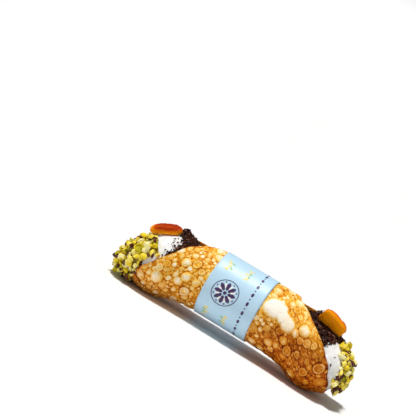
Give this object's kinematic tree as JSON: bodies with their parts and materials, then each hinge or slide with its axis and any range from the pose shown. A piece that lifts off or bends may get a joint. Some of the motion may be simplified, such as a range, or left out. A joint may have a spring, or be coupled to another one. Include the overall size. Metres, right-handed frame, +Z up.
{
  "type": "filled cannolo",
  "caption": "Fried pastry tube filled with ricotta, with chopped nuts, grated chocolate and candied peel at both mouths and a paper band round its waist.",
  "frame": {"origin": "middle of the outline, on the surface that the cannolo lies on", "axes": "+X along the shell, +Y away from the viewer, +Z up, the way the two slanting mouths face"},
  "size_m": [0.1476, 0.0412, 0.0453],
  "materials": {
    "pastry": "satin",
    "cream": "satin",
    "candied_peel": "gloss",
    "paper": "matte"
  },
  "bodies": {
    "root": {"pastry_shell": "pastry", "ricotta_filling": "cream", "candied_peel_left": "candied_peel", "candied_peel_right": "candied_peel", "paper_band": "paper"}
  },
  "joints": []
}
